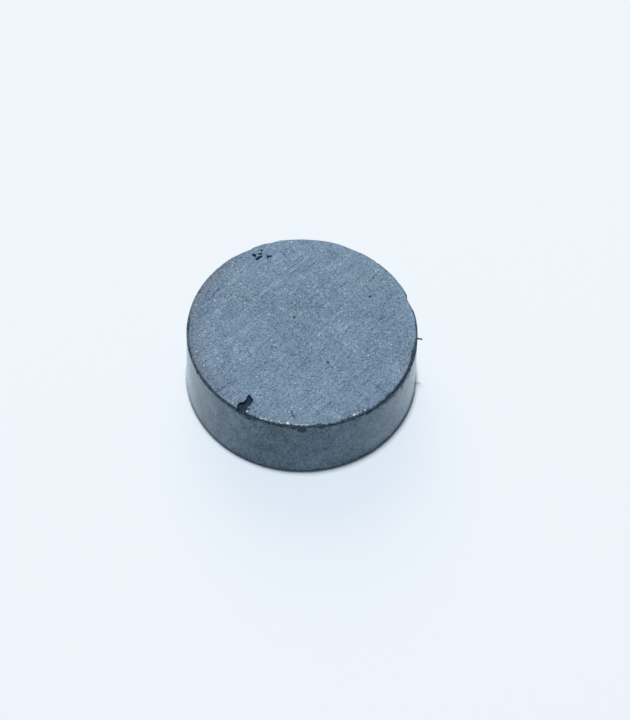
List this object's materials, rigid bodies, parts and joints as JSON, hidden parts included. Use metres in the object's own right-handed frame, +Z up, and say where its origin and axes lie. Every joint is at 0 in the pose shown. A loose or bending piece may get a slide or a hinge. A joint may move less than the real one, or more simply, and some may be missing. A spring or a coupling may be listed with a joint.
{
  "type": "disc magnet",
  "caption": "Round ferrite disc magnet with two ground flat pole faces, a pressed round wall and a chipped, gouged upper rim.",
  "frame": {"origin": "centre of the lower pole face, on the surface the disc stands on", "axes": "+Z up through the thickness, from the lower pole face to the chipped upper one; +X and +Y across the disc, with the rim gouge at 240 degrees counter-clockwise from +X"},
  "size_m": [0.02, 0.02, 0.0069],
  "materials": {
    "sintered_ferrite": "unglazed sintered ceramic, slate grey: pole faces finely ground with faint parallel lines and a satin lustre, wall as pressed, fracture surfaces near black"
  },
  "bodies": {
    "root": {"ferrite_disc": "sintered_ferrite"}
  },
  "joints": []
}
